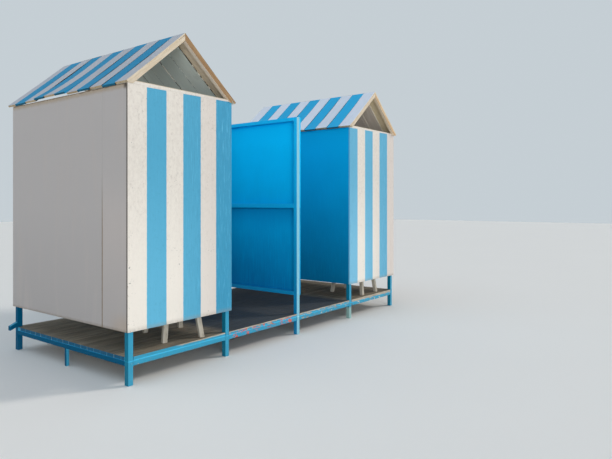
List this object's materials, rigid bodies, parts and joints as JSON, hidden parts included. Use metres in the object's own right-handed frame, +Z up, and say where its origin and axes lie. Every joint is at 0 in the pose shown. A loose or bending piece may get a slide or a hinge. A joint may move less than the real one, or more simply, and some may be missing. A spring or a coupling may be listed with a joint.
{
  "type": "double beach hut",
  "caption": "Free-standing double beach changing hut: two gable-roofed cubicles with striped fronts on one raised steel base and deck, with a blue screen between them.",
  "frame": {"origin": "on the ground under the middle of the plan", "axes": "+X along the striped front to the right, +Y from the front to the back, +Z up"},
  "size_m": [4.684, 2.084, 3.0561],
  "materials": {
    "blue_steel": "worn blue gloss paint on steel tube",
    "white_sheet": "white paint on smooth plywood",
    "blue_sheet": "bright blue paint on smooth plywood",
    "striped_sheet": "white and blue stripes painted on grained plywood",
    "roof_boards": "boards painted in turn white and blue",
    "cream_timber": "weathered cream timber",
    "deck_timber": "weathered grey-brown boards",
    "stool_timber": "pale planed timber"
  },
  "bodies": {
    "root": {"base_front_rail": "blue_steel", "base_back_rail": "blue_steel", "base_end_rails": "blue_steel", "base_cross_rails": "blue_steel", "base_end_legs": "blue_steel", "corner_stubs": "blue_steel", "deck": "deck_timber", "left_front_wall": "striped_sheet", "left_back_wall": "white_sheet", "left_outer_wall_front_sheet": "white_sheet", "left_outer_wall_rear_sheet": "white_sheet", "left_inner_wall": "blue_sheet", "left_posts": "blue_steel", "left_doorway_post": "blue_steel", "left_top_rails": "blue_steel", "left_front_rafters": "cream_timber", "left_back_rafters": "cream_timber", "left_gable_ties": "cream_timber", "left_ridge_beam": "cream_timber", "left_roof_left_slope": "roof_boards", "left_roof_right_slope": "roof_boards", "left_stool_legs": "stool_timber", "left_stool_seat": "stool_timber", "left_passage_back_wall": "blue_sheet", "right_front_wall": "striped_sheet", "right_back_wall": "white_sheet", "right_outer_wall_front_sheet": "white_sheet", "right_outer_wall_rear_sheet": "white_sheet", "right_inner_wall": "blue_sheet", "right_posts": "blue_steel", "right_doorway_post": "blue_steel", "right_top_rails": "blue_steel", "right_front_rafters": "cream_timber", "right_back_rafters": "cream_timber", "right_gable_ties": "cream_timber", "right_ridge_beam": "cream_timber", "right_roof_left_slope": "roof_boards", "right_roof_right_slope": "roof_boards", "right_stool_legs": "stool_timber", "right_stool_seat": "stool_timber", "right_passage_back_wall": "blue_sheet", "screen_posts": "blue_steel", "screen_rails": "blue_steel", "screen_sheet": "blue_sheet"}
  },
  "joints": []
}
